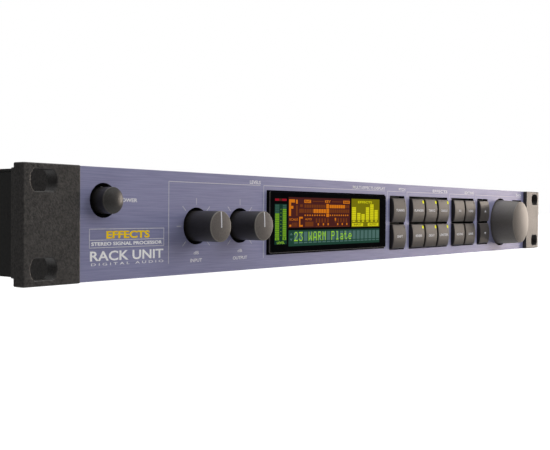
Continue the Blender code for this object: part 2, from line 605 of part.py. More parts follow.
def din_recess():
    """The ring that takes the plug's shield, with five pin holes inside it."""
    bm = bmesh.new()
    (ring_outer, ring_inner), floor, mouth = MIDI_RING, -MIDI_RECESS_DEPTH, MM
    rings = []
    section = ((ring_outer, floor), (ring_outer, mouth), (ring_inner, mouth), (ring_inner, floor))
    for radius, height in section:
        angles = (2 * math.pi * step / 24 for step in range(24))
        rings.append([bm.verts.new((radius * math.cos(a), radius * math.sin(a), height)) for a in angles])
    for ring, following in zip(rings, rings[1:] + rings[:1]):
        for step in range(24):
            nearby = (step + 1) % 24
            bm.faces.new((ring[step], ring[nearby], following[nearby], following[step]))
    bmesh.ops.recalc_face_normals(bm, faces=bm.faces)
    for pin in range(5):
        angle = math.radians(-90 + (pin - 2) * 45)
        x, y = MIDI_PIN_CIRCLE * math.cos(angle), MIDI_PIN_CIRCLE * math.sin(angle)
        add_disc(bm, x, y, floor, mouth, MIDI_PIN, 8)
    return bm


def screws():
    """Flat heads flush with the cover, and low round heads on the ears' legs."""
    flush = HEIGHT - GAP / 2
    for side, across in ((-1, "left"), (1, "right")):
        for depth, along in zip(COVER_SCREW_DEPTHS, ("front", "rear")):
            profile = [(0, 0), (SCREW_HEAD, 0), (SCREW_RADIUS, -COUNTERSINK),
                       (SCREW_RADIUS, -COVER_SCREW_LENGTH), (0, -COVER_SCREW_LENGTH)]
            place = (side * COVER_SCREW_X, FRONT_Y + depth, flush)
            turned(f"cover_screw_{across}_{along}", profile, "steel", place, (0, 0, 0), 16)
        for depth, along in zip(EAR_SCREW_DEPTHS, ("front", "rear")):
            profile = [(0, 1.8 * MM), (1.8 * MM, 1.6 * MM), (SCREW_HEAD, 0.8 * MM), (SCREW_HEAD, GAP),
                       (SCREW_RADIUS, GAP), (SCREW_RADIUS, -EAR_SCREW_LENGTH), (0, -EAR_SCREW_LENGTH)]
            place = (side * (CHASSIS_HALF + GAP + EAR_LEG_THICK), FRONT_Y + depth, MID_Z)
            turned(f"ear_screw_{across}_{along}", profile, "steel", place, (0, side * math.pi / 2, 0), 16)


def build():
    clear_scene()
    ears()
    front_plate()
    chassis_pan()
    sub_panel()
    top_cover()
    rear_panel()
    display()
    power_control()
    for name, x in KNOB_XS.items():
        knob(name, x)
    data_wheel()
    buttons()
    control_board()
    boards()
    transformer()
    ribbon_cable()
    mains_inlet()
    rear_sockets()
    screws()


build()
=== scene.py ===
"""The looks of a one-unit rack effects processor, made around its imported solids.

Shapes are laid out in millimetres and placed in metres. A front piece uses the panel's frame: x right,
y up from mid-height and z proud of the ears' front face. A rear piece uses the same frame turned round
to face +Y, and a chassis piece uses the object's own frame, +Z up.
"""

import math

import bmesh
import bpy
from mathutils import Matrix, Vector


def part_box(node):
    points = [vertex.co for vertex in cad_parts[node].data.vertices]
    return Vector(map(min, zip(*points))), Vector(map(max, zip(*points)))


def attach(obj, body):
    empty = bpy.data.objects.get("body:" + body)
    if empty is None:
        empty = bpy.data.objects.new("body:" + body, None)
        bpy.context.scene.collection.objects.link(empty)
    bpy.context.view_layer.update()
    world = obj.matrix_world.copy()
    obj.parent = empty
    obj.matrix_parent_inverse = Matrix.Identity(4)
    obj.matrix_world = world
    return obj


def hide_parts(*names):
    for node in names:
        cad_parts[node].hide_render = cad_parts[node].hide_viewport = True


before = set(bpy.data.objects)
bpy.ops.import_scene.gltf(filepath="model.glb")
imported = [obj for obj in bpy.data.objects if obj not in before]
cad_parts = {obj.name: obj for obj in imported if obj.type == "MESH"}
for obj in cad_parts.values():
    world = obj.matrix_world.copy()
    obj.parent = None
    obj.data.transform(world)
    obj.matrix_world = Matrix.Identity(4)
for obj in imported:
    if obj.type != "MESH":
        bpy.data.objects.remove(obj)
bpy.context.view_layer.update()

MM = 0.001
FRONT_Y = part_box("left_ear")[0].y
MID_Z = (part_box("left_ear")[0].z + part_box("left_ear")[1].z) / 2
REAR_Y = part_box("rear_panel")[1].y
UPRIGHT = Matrix.Rotation(math.pi / 2, 4, "X")
MILLIMETRES = Matrix.Scale(MM, 4)
PANEL = Matrix.Translation((0, FRONT_Y, MID_Z)) @ UPRIGHT @ MILLIMETRES
REAR = Matrix.Translation((0, REAR_Y, MID_Z)) @ Matrix.Rotation(math.pi, 4, "Z") @ UPRIGHT @ MILLIMETRES

# Camera: where it stands from the ears' front face, and how it is turned, in degrees
CAMERA_X, CAMERA_AHEAD, CAMERA_Z = -0.4199, 0.2508, 0.0274
CAMERA_YAW, CAMERA_PITCH, CAMERA_ROLL = 51.985, -0.931, 0.411
CAMERA_LENS = 55.54

# Front panel, in panel millimetres
EAR_THICK, LEG_THICK, LEG_DEPTH = 6.0, 4.0, 38.0
RACK_X, RACK_UP = 232.55, 15.875
RACK_SLOT_RADIUS, RACK_SLOT_HALF_HEIGHT = 5.65, 3.9
EAR_ROUND = 0.5
POWER_HOLE, KNOB_HOLE, WHEEL_HOLE = 6.75, 8.0, 17.2
WINDOW_GAP_X, WINDOW_GAP_TOP, WINDOW_GAP_LOW = 1.1, 1.35, 0.7
GROUPS = {"pitch": 1, "effect": 3, "edit": 2, "arrow": 1, "enter": 1}
INK = 0.03  # thickness of printing
SHARP = math.radians(38)  # faces that meet at more than this keep a crisp edge
LINE = 0.30  # width of a printed line
KNOB_DOME, WHEEL_DOME = 0.35, 1.3
CAP_ROUND = 0.5
LENS_BORDER = 0.35
LENS_GAP = 0.3  # between the lens and the plate's edge round it
LAYER = 0.02  # rise of one layer of the lit picture
SHAFT_BORE = 3.3  # radius inside a knob or the wheel
SKIRT_TOP = -0.5  # where that bore's hub ends

# Rear, in the rear frame's millimetres
SHEET = 1.2
BEHIND = -1.5  # where the sockets' bodies start, clear of the sheet


def linear(*values):
    """A colour of 0 to 255 a channel as shaders need it."""
    shares = [value / 255 for value in values]
    return tuple(s / 12.92 if s <= 0.04045 else ((s + 0.055) / 1.055) ** 2.4 for s in shares)


# ---------------------------------------------------------------- materials

def add_node(tree, kind, settings=(), **values):
    made = tree.nodes.new("ShaderNode" + kind)
    for name, value in dict(settings).items():
        setattr(made, name, value)
    for name, value in values.items():
        made.inputs[name].default_value = value
    return made


def add_noise(tree, vector, grain, detail=3.0):
    """Noise whose grain is that many metres across."""
    made = add_node(tree, "TexNoise", Scale=1 / grain, Detail=detail, Roughness=0.6)
    tree.links.new(vector, made.inputs["Vector"])
    return made.outputs["Fac"]


def add_range(tree, value, low, high, start=0.3, end=0.7, shape="LINEAR"):
    """The value carried from start..end to low..high."""
    limits = {"From Min": start, "From Max": end, "To Min": low, "To Max": high}
    made = add_node(tree, "MapRange", {"interpolation_type": shape}, **limits)
    tree.links.new(value, made.inputs["Value"])
    return made.outputs["Result"]


def add_ramp(tree, value, colours, start=0.32, end=0.68):
    ramp = add_node(tree, "ValToRGB")
    for element, colour, position in zip(ramp.color_ramp.elements, colours, (start, end)):
        element.color = (*colour, 1)
        element.position = position
    tree.links.new(value, ramp.inputs["Fac"])
    return ramp.outputs["Color"]


def surface(name, dark, light, rough, grain=0.0006, relief=0, stretch=(1, 1, 1), relief_grain=None,
            **shader_values):
    """A finish whose colour wanders between two tones, with uneven gloss and a fine relief."""
    material = bpy.data.materials.new(name)
    material.use_nodes = True
    tree = material.node_tree
    shader = tree.nodes["Principled BSDF"]
    place = add_node(tree, "TexCoord").outputs["Object"]
    mapping = add_node(tree, "Mapping", Scale=stretch)
    tree.links.new(place, mapping.inputs["Vector"])
    stretched = mapping.outputs["Vector"]
    fine = add_noise(tree, stretched, grain)
    broad = add_noise(tree, place, 0.03, 2.0)
    tree.links.new(add_ramp(tree, fine, (dark, light)), shader.inputs["Base Color"])
    blend = add_node(tree, "Mix", Factor=0.5)
    tree.links.new(fine, blend.inputs["A"])
    tree.links.new(broad, blend.inputs["B"])
    tree.links.new(add_range(tree, blend.outputs["Result"], *rough), shader.inputs["Roughness"])
    if relief:
        bump = add_node(tree, "Bump", Strength=1.0, Distance=relief)
        height = add_noise(tree, stretched, relief_grain or grain, 2.0)
        tree.links.new(height, bump.inputs["Height"])
        tree.links.new(bump.outputs["Normal"], shader.inputs["Normal"])
    for socket, value in shader_values.items():
        shader.inputs[socket.replace("_", " ")].default_value = value
    return material


def glow(name, colour):
    """A lit part of the display: its light, and a faintly uneven dark film that carries it."""
    dark, light = (tuple(share * value for value in colour) for share in (0.03, 0.07))
    return surface(name, dark, light, (0.3, 0.4), 0.002, Emission_Color=(*colour, 1),
                   Emission_Strength=1.0, Specular_IOR_Level=0.0)


LIT = (  # parts of the lit picture: key, material name, and colour as 0 to 255 a channel
    ("red", "lamp_red", 140, 18, 36), ("red_dim", "lamp_brown", 74, 34, 26),
    ("teal", "meter_unlit", 50, 82, 71), ("teal_dark", "meter_ground", 22, 50, 40),
    ("meter", "meter_lit", 106, 152, 34), ("rust", "zone_rust", 70, 32, 30),
    ("amber_dim", "segment_dim", 106, 54, 26), ("amber", "segment_amber", 200, 112, 24),
    ("olive", "zone_olive", 114, 109, 16), ("lemon", "bars_lemon", 204, 198, 28),
    ("forest", "zone_green", 32, 62, 51), ("cell", "cell_unlit", 73, 102, 97),
    ("lime", "cell_lit", 142, 192, 48), ("lamp", "lamp_yellow", 232, 230, 42),
)

MATERIALS = {
    "ear": surface("ear_powder_coat", (0.020, 0.0188, 0.0180), (0.074, 0.069, 0.066), (0.35, 0.46),
                   0.00075, 0.0001, relief_grain=0.0008, Specular_IOR_Level=0.75),
    "chassis": surface("chassis_paint", (0.016, 0.016, 0.016), (0.030, 0.029, 0.028), (0.42, 0.52),
                       0.0012, 0.00003),
    "plate": surface("plate_brushed", (0.265, 0.270, 0.450), (0.345, 0.350, 0.550), (0.36, 0.46),
                     0.00035, 0.00001, stretch=(0.02, 1, 1), Metallic=0.3, Anisotropic=0.4),
    # painted shade: near black for the walls of the plate's holes and windows, standing for the shade in the
    # gaps
    "plate_hole_shade": surface("plate_hole_painted_shade", (0.006, 0.006, 0.007), (0.014, 0.013, 0.015), (0.5, 0.6),
                         0.0004, Specular_IOR_Level=0.2),
    # painted shade: near black for the sheet seen through the panel's holes, standing for the shade behind
    # them
    "shade": surface("inner_painted_shade", (0.003, 0.003, 0.003), (0.006, 0.006, 0.006), (0.6, 0.7),
                     0.0012, Specular_IOR_Level=0.1),
    "ink": surface("ink_white", (0.86, 0.85, 0.86), (0.94, 0.93, 0.94), (0.45, 0.55)),
    "ink_grey": surface("ink_grey", (0.58, 0.57, 0.62), (0.70, 0.69, 0.74), (0.45, 0.55)),
    "ink_yellow": surface("ink_yellow", (0.96, 0.62, 0.004), (1.0, 0.70, 0.008), (0.4, 0.5)),
    # painted shade and painted light: knob sides and caps are one plastic, the sides drawn near black and
    # the caps paler
    "knob": surface("knob_side", (0.018, 0.016, 0.0145), (0.030, 0.027, 0.025), (0.40, 0.48),
                    0.0005, 0.000006),
    "knob_cap": surface("knob_cap", (0.092, 0.082, 0.076), (0.135, 0.121, 0.113), (0.42, 0.50),
                        0.0005, 0.00001),
    # painted highlight: the pale rim line round the knob and wheel caps
    "painted_rim_highlight": surface("painted_rim_highlight", (0.17, 0.155, 0.14), (0.22, 0.20, 0.18), (0.35, 0.45)),
    # partly painted reflection: the wheel side's own grey, drawn paler to stand in for its grazing
    # reflection
    "wheel_side": surface("wheel_side", (0.130, 0.119, 0.112), (0.185, 0.171, 0.161), (0.36, 0.44),
                          0.0004, 0.000008),
    "wheel_cap": surface("wheel_cap", (0.095, 0.085, 0.077), (0.143, 0.127, 0.114), (0.40, 0.50),
                         0.0005, 0.00002),
    "power": surface("power_cap", (0.032, 0.030, 0.028), (0.052, 0.049, 0.047), (0.34, 0.42),
                     0.0005, 0.000008),
    # painted highlight: the paler ring at the power cap's edge
    "power_painted_rim_highlight": surface("power_painted_rim_highlight", (0.050, 0.046, 0.043), (0.070, 0.065, 0.060), (0.40, 0.50)),
    "pointer": surface("pointer_paint", (0.62, 0.62, 0.66), (0.72, 0.72, 0.76), (0.4, 0.5)),
    "cap": surface("button_cap", (0.060, 0.053, 0.049), (0.088, 0.078, 0.073), (0.32, 0.40),
                   0.0005, 0.00001, stretch=(1, 1, 0.08), Specular_IOR_Level=0.5),
    "legend": surface("legend_white", (0.66, 0.66, 0.70), (0.78, 0.78, 0.82), (0.4, 0.5)),
    "lamp_dark": surface("lamp_unlit", (0.006, 0.006, 0.006), (0.012, 0.011, 0.011), (0.4, 0.5),
                         Specular_IOR_Level=0.2),
    "lens": surface("lens_black", (0.0025, 0.0025, 0.003), (0.004, 0.004, 0.0045), (0.05, 0.09),
                    0.004, Specular_IOR_Level=0.02),
    # painted highlight: a paler tone for the lens bevel's left and lower faces
    "lens_edge_painted_highlight": surface("lens_edge_painted_highlight", (0.050, 0.046, 0.042), (0.080, 0.073, 0.067), (0.30, 0.40),
                         0.0008, 0),
    "steel": surface("screw_zinc", (0.10, 0.10, 0.105), (0.17, 0.17, 0.175), (0.30, 0.42), 0.0005,
                     0.00001, Metallic=1.0),
    "shaft": surface("shaft_turned", (0.50, 0.50, 0.51), (0.62, 0.62, 0.63), (0.25, 0.35), 0.0004,
                     0.00001, stretch=(1, 20, 1), Metallic=1.0),
    "nickel": surface("nickel", (0.52, 0.50, 0.47), (0.66, 0.64, 0.60), (0.18, 0.30), 0.0008,
                      0.000004, Metallic=1.0),
    "gold": surface("gold_plate", (0.78, 0.56, 0.22), (0.88, 0.66, 0.30), (0.16, 0.26), 0.0008,
                    0.000004, Metallic=1.0),
    "plastic": surface("socket_plastic", (0.016, 0.016, 0.017), (0.028, 0.028, 0.029), (0.38, 0.50),
                       0.001, 0.00002),
    "insulator": surface("insulator", (0.62, 0.61, 0.58), (0.72, 0.71, 0.68), (0.4, 0.5), 0.0008),
    "board": surface("board_mask", (0.004, 0.020, 0.009), (0.008, 0.032, 0.014), (0.25, 0.40),
                     0.0015, 0.00002),
    "winding": surface("winding_tape", (0.42, 0.30, 0.05), (0.58, 0.43, 0.09), (0.30, 0.45), 0.002,
                       0.0001),
    "cable": surface("ribbon_grey", (0.30, 0.30, 0.31), (0.44, 0.44, 0.45), (0.45, 0.55), 0.00125,
                     0.0001, stretch=(1, 0.02, 0.02)),
    **{key: glow(name, linear(*colour)) for key, name, *colour in LIT},
}


# ---------------------------------------------------------------- mesh tools

def add_box(bm, low, high):
    low, high = Vector(low), Vector(high)
    place = Matrix.Translation((low + high) / 2) @ Matrix.Diagonal((*(high - low), 1))
    return bmesh.ops.create_cube(bm, size=1, matrix=place)["verts"]


def new_box(low, high):
    """A working mesh with one box in it."""
    bm = bmesh.new()
    add_box(bm, low, high)
    return bm


def add_disc(bm, x, y, low, high, radius, segments=64):
    place = Matrix.Translation((x, y, (low + high) / 2))
    bmesh.ops.create_cone(bm, cap_ends=True, segments=segments, radius1=radius, radius2=radius,
                          depth=high - low, matrix=place)


def add_prism(bm, outline, low, high):
    """An outline of x, y points extruded from z low to z high."""
    base = bm.faces.new([bm.verts.new((x, y, low)) for x, y in outline])
    raised = bmesh.ops.extrude_face_region(bm, geom=[base])["geom"]
    points = [item for item in raised if isinstance(item, bmesh.types.BMVert)]
    bmesh.ops.translate(bm, verts=points, vec=(0, 0, high - low))
    bmesh.ops.recalc_face_normals(bm, faces=bm.faces)


def add_lathe(bm, profile, x=0.0, y=0.0, segments=96):
    """Turns a closed or axis-to-axis profile of (radius, height, material) about a line along z."""
    rings = []
    for radius, height, _ in profile:
        if radius < 1e-6:
            rings.append([bm.verts.new((x, y, height))] * segments)
            continue
        angles = (2 * math.pi * step / segments for step in range(segments))
        rings.append([bm.verts.new((x + radius * math.cos(a), y + radius * math.sin(a), height))
                      for a in angles])
    made = []
    for (upper, lower), (_, _, slot) in zip(zip(rings, rings[1:]), profile[1:]):
        for step in range(segments):
            nearby = (step + 1) % segments
            corners = [upper[step], lower[step], lower[nearby], upper[nearby]]
            face = bm.faces.new(list(dict.fromkeys(corners)))
            face.material_index = slot
            made.append(face)
    bmesh.ops.remove_doubles(bm, verts=list({v for f in made for v in f.verts}), dist=1e-5)


def arc(centre, radius, start, end, steps, slot=0):
    """Profile points round a centre (radius, height), from one angle to another in degrees."""
    points = []
    for step in range(steps + 1):
        angle = math.radians(start + (end - start) * step / steps)
        points.append((centre[0] + radius * math.cos(angle), centre[1] + radius * math.sin(angle), slot))
    return points


def dome(radius, rim, rise, steps, slot=0):
    """Profile points of a shallow dome, from its middle out to its rim."""
    sphere = (radius * radius + rise * rise) / (2 * rise)
    points = []
    for step in range(steps + 1):
        out = radius * step / steps
        points.append((out, rim + rise - sphere + math.sqrt(sphere * sphere - out * out), slot))
    return points


def add_mesh(bm, other):
    """Moves all of one working mesh into another."""
    mesh = bpy.data.meshes.new("work")
    other.to_mesh(mesh)
    other.free()
    bm.from_mesh(mesh)
    bpy.data.meshes.remove(mesh)


def as_mesh_object(bm):
    mesh = bpy.data.meshes.new("work")
    bm.to_mesh(mesh)
    bm.free()
    thing = bpy.data.objects.new("work", mesh)
    bpy.context.collection.objects.link(thing)
    return thing


def combine(bm, tool, operation="DIFFERENCE"):
    """Cuts the tool's shapes from bm, or joins them to it, and returns the result."""
    target, cutter = as_mesh_object(bm), as_mesh_object(tool)
    modifier = target.modifiers.new("combine", "BOOLEAN")
    modifier.operation = operation
    modifier.solver = "EXACT"
    modifier.object = cutter
    bpy.context.view_layer.update()
    evaluated = target.evaluated_get(bpy.context.evaluated_depsgraph_get())
    result = bmesh.new()
    result.from_mesh(evaluated.to_mesh())
    evaluated.to_mesh_clear()
    for thing in (target, cutter):
        mesh = thing.data
        bpy.data.objects.remove(thing)
        bpy.data.meshes.remove(mesh)
    return result


def tidy_faces(bm):
    """Joins doubled points and flat neighbouring faces, so that only real edges are left."""
    bmesh.ops.remove_doubles(bm, verts=bm.verts, dist=1e-3)
    bmesh.ops.dissolve_limit(bm, angle_limit=math.radians(0.5), verts=bm.verts, edges=bm.edges,
                             delimit={"MATERIAL"})


def bevel(bm, edges, width, segments, clamped=False):
    return bmesh.ops.bevel(bm, geom=edges, offset=width, segments=segments, profile=0.5, affect="EDGES",
                           clamp_overlap=clamped)["faces"]


def upright_edges(bm, length):
    """The edges that rise by more than a length."""
    return [edge for edge in bm.edges if abs(edge.verts[0].co.z - edge.verts[1].co.z) > length]


def soften(bm, width, segments=2, angle=32, wanted=None):
    """Rounds the edges that are sharper than the angle, or only those of them that are wanted."""
    tidy_faces(bm)
    sharp = [edge for edge in bm.edges if len(edge.link_faces) == 2
             and edge.calc_face_angle(0) > math.radians(angle) and (wanted is None or wanted(edge))]
    bevel(bm, sharp, width, segments, True)


def piece(name, bm, place, materials, replaces=(), body="chassis"):
    """Makes a finished piece from bm, riding on a body and standing for the solids it replaces."""
    bm.transform(place)
    bm.normal_update()
    mesh = bpy.data.meshes.new(name)
    bm.to_mesh(mesh)
    bm.free()
    for key in materials:
        mesh.materials.append(MATERIALS[key])
    mesh.shade_smooth()
    mesh.set_sharp_from_angle(angle=SHARP)
    thing = bpy.data.objects.new(name, mesh)
    bpy.context.collection.objects.link(thing)
    weighted = thing.modifiers.new("even_normals", "WEIGHTED_NORMAL")
    weighted.keep_sharp = True
    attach(thing, body)
    if replaces:
        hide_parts(*replaces)


def add_text(bm, words, left, low, right, high, face, weight=0.0, slot=0):
    """Words in the plain built-in font, fitted to a box, raised from the face height."""
    curve = bpy.data.curves.new("words", "FONT")
    curve.body = words
    curve.extrude = 0.5
    curve.offset = weight
    curve.resolution_u = 3
    thing = bpy.data.objects.new("words", curve)
    bpy.context.collection.objects.link(thing)
    bpy.context.view_layer.update()
    words_bm = bmesh.new()
    words_bm.from_mesh(thing.evaluated_get(bpy.context.evaluated_depsgraph_get()).to_mesh())
    spans = [(min(v.co[i] for v in words_bm.verts), max(v.co[i] for v in words_bm.verts)) for i in range(2)]
    scale = ((right - left) / (spans[0][1] - spans[0][0]), (high - low) / (spans[1][1] - spans[1][0]))
    for vertex in words_bm.verts:
        x, y, z = vertex.co
        vertex.co = (left + (x - spans[0][0]) * scale[0], low + (y - spans[1][0]) * scale[1],
                     face + 2 * z * INK)
    for made in words_bm.faces:
        made.material_index = slot
    bmesh.ops.remove_doubles(words_bm, verts=words_bm.verts, dist=1e-5)
    bpy.data.objects.remove(thing)
    bpy.data.curves.remove(curve)
    add_mesh(bm, words_bm)


def span(node):
    """A front node's box in panel millimetres: lowest corner and highest corner."""
    inverse = PANEL.inverted()
    corners = [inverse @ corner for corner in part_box(node)]
    return (Vector([min(c[i] for c in corners) for i in range(3)]),
            Vector([max(c[i] for c in corners) for i in range(3)]))


def middle(node):
    """The middle of a front node across and up the panel."""
    low, high = span(node)
    return (low.x + high.x) / 2, (low.y + high.y) / 2


def refined(node, name, material, width, segments=2):
    """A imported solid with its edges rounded, in place of the solid."""
    bm = bmesh.new()
    bm.from_mesh(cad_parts[node].data)
    for face in bm.faces:
        face.material_index = 0
    bm.transform(MILLIMETRES.inverted())
    soften(bm, width, segments)
    piece(name, bm, MILLIMETRES, [material], [node])


# ---------------------------------------------------------------- front panel

def rack_slot(x, y):
    """A circle with a flat at its top and bottom."""
    reach = math.asin(RACK_SLOT_HALF_HEIGHT / RACK_SLOT_RADIUS)
    points, steps = [], 16
    for start in (0, math.pi):
        for step in range(steps + 1):
            angle = start - reach + 2 * reach * step / steps
            points.append((x + RACK_SLOT_RADIUS * math.cos(angle), y + RACK_SLOT_RADIUS * math.sin(angle)))
    return points


def make_ears():
    """Thick L-shaped ears: a slotted flange, and a leg along the chassis side."""
    for name, side in (("left_ear", -1), ("right_ear", 1)):
        low, high = span(name)
        inner, outer = (high.x, low.x) if side < 0 else (low.x, high.x)
        leg = inner + side * LEG_THICK
        outline = [(inner, 0), (outer, 0), (outer, -EAR_THICK), (leg, -EAR_THICK),
                   (leg, -LEG_DEPTH), (inner, -LEG_DEPTH)]
        bm = bmesh.new()
        add_prism(bm, outline, low.y, high.y)
        bmesh.ops.rotate(bm, verts=bm.verts, matrix=Matrix.Rotation(math.pi / 2, 3, "X"))
        slots = bmesh.new()
        for up in (-RACK_UP, RACK_UP):
            add_prism(slots, rack_slot(side * RACK_X, up), -EAR_THICK - 1, 1)
        bm = combine(bm, slots)
        soften(bm, EAR_ROUND, 3)
        piece(name + "_cast", bm, PANEL, ["ear"], [name])


def window(group):
    """The edges of a button window: left, low, right, high."""
    lowest, highest = span(f"{group}_button_1_lower")[0], span(f"{group}_button_{GROUPS[group]}_upper")[1]
    return (lowest.x - WINDOW_GAP_X, lowest.y - WINDOW_GAP_LOW,
            highest.x + WINDOW_GAP_X, highest.y + WINDOW_GAP_TOP)


def make_plate():
    """The recessed, brushed plate with its holes and windows."""
    low, high = span("front_plate")
    lens_low, lens_high = span("display_lens")
    bm = new_box(low, high)
    holes = bmesh.new()
    under, over = low.z - 1, high.z + 1
    for group in GROUPS:
        left, bottom, right, top = window(group)
        add_box(holes, (left, bottom, under), (right, top, over))
    add_box(holes, (lens_low.x - LENS_GAP, lens_low.y - LENS_GAP, under),
            (lens_high.x + LENS_GAP, lens_high.y + LENS_GAP, over))
    for node, radius in (("power_button", POWER_HOLE), ("input_knob", KNOB_HOLE),
                         ("output_knob", KNOB_HOLE), ("data_wheel", WHEEL_HOLE)):
        add_disc(holes, *middle(node), under, over, radius, 96)
    bm = combine(bm, holes)
    soften(bm, 0.18, 2)
    # painted shade: the walls of the holes and windows take the near-black edge material
    for face in bm.faces:
        if abs(face.normal.z) < 0.95:
            face.material_index = 1
    piece("plate_sheet", bm, PANEL, ["plate", "plate_hole_shade"], ["front_plate"])


def make_panel_print():
    """Frames, scales and names in white on the plate, and one word in yellow."""
    face = span("front_plate")[1].z
    bm, fine = bmesh.new(), bmesh.new()

    def line(left, low, right, high):
        add_box(fine, (left, low, face - INK), (right, high, face + INK))

    def frame_line(left, right, top=17.55, bottom=-16.9):
        line(left - LINE / 2, bottom, left + LINE / 2, top + LINE / 2)
        line(left + LINE / 2, top - LINE / 2, right, top + LINE / 2)

    def label(words, left, right, low=18.1, high=19.75, weight=0.012):
        add_text(bm, words, left, low, right, high, face, weight)

    frames = ((-168.1, -107.4), (-104.9, 7.4), (10.15, 30.4), (33.3, 86.6), (89.85, 126.5), (129.7, 210.8))
    for left, right in frames:
        frame_line(left, right)
    label("LEVELS", -115.2, -107.3)
    label("MULTI-EFFECTS DISPLAY", -26.9, 7.4)
    label("PITCH", 23.4, 30.9)
    label("EFFECTS", 66.4, 86.6)
    label("EDITING", 112.5, 126.9)
    label("DATA", 201.4, 210.8)
    label("POWER", -195.4, -185.8, 8.6, 10.1)
    for name, left, right in (("input_knob", -154.9, -147.7), ("output_knob", -127.0, -117.0)):
        x, y = middle(name)
        label(name.removesuffix("_knob").upper(), left, right, -16.85, -15.35)
        label("dB", x - 1.6, x + 1.6, -13.5, -12.1, 0.0)
        for step in range(7):
            place = Matrix.Translation((x, y, 0)) @ Matrix.Rotation(math.radians(135 - 45 * step), 4, "Z")
            tick = add_box(fine, (-LINE / 2, 9.3, face - INK), (LINE / 2, 12.1, face + INK))
            bmesh.ops.transform(fine, matrix=place, verts=tick)
    left, right, top, divider, bottom, half = -210.1, -170.9, -1.9, -6.2, -9.1, 0.13
    for level in (top, divider, bottom):
        line(left, level - half, right, level + half)
    for edge in (left, right):
        line(edge - half, bottom - half, edge + half, top + half)
    label("STEREO SIGNAL PROCESSOR", -209.2, -171.9, -8.35, -6.95, 0.03)
    label("RACK UNIT", -209.8, -171.1, -14.25, -10.4, 0.02)
    label("D I G I T A L   A U D I O", -209.2, -171.1, -16.0, -15.0, 0.0)
    add_text(bm, "EFFECTS", -201.8, -5.7, -178.9, -2.7, face, 0.035, slot=1)
    piece("panel_print", bm, PANEL, ["ink", "ink_yellow"])
    piece("panel_lines", fine, PANEL, ["ink_grey"])


# ---------------------------------------------------------------- display

def make_lens():
    """A polished black window with a bevelled edge all round; its left and lower bevel faces are paler, a
    painted highlight.
    """
    low, high = span("display_lens")
    step, shoulder = LENS_BORDER, 1.2
    bm = new_box(low, (high.x, high.y, high.z - shoulder))
    raised = new_box((low.x + step, low.y + step, low.z + 0.5), (high.x - step, high.y - step, high.z))
    bevel(raised, upright_edges(raised, 0.1), 1.0, 6)
    bm = combine(bm, raised, "UNION")
    tidy_faces(bm)
    front = [edge for edge in bm.edges if all(vertex.co.z > high.z - 0.1 for vertex in edge.verts)]
    # painted highlight: bevel faces turned left or down take the paler edge material
    for face in bevel(bm, front, 0.4, 2):
        face.material_index = int(min(face.normal.x, face.normal.y) < -0.3)
    piece("lens_window", bm, PANEL, ["lens", "lens_edge_painted_highlight"], ["display_lens"])


LETTERS = {
    "2": ".###. #...# ....# ...#. ..#.. .#... #####",
    "3": "##### ...#. ..#.. ...#. ....# #...# .###.",
    "W": "#...# #...# #...# #.#.# #.#.# ##.## #...#",
    "A": ".###. #...# #...# #...# ##### #...# #...#",
    "R": "####. #...# #...# ####. #.#.. #..#. #...#",
    "M": "#...# ##.## #.#.# #.#.# #...# #...# #...#",
    "P": "####. #...# #...# ####. #.... #.... #....",
    "l": ".##.. ..#.. ..#.. ..#.. ..#.. ..#.. .###.",
    "a": "..... ..... .###. ....# .#### #...# .####",
    "t": ".#... .#... ###.. .#... .#... .#..# ..##.",
    "e": "..... ..... .###. #...# ##### #.... .###.",
}
SHOWN = "23 WARM Plate"


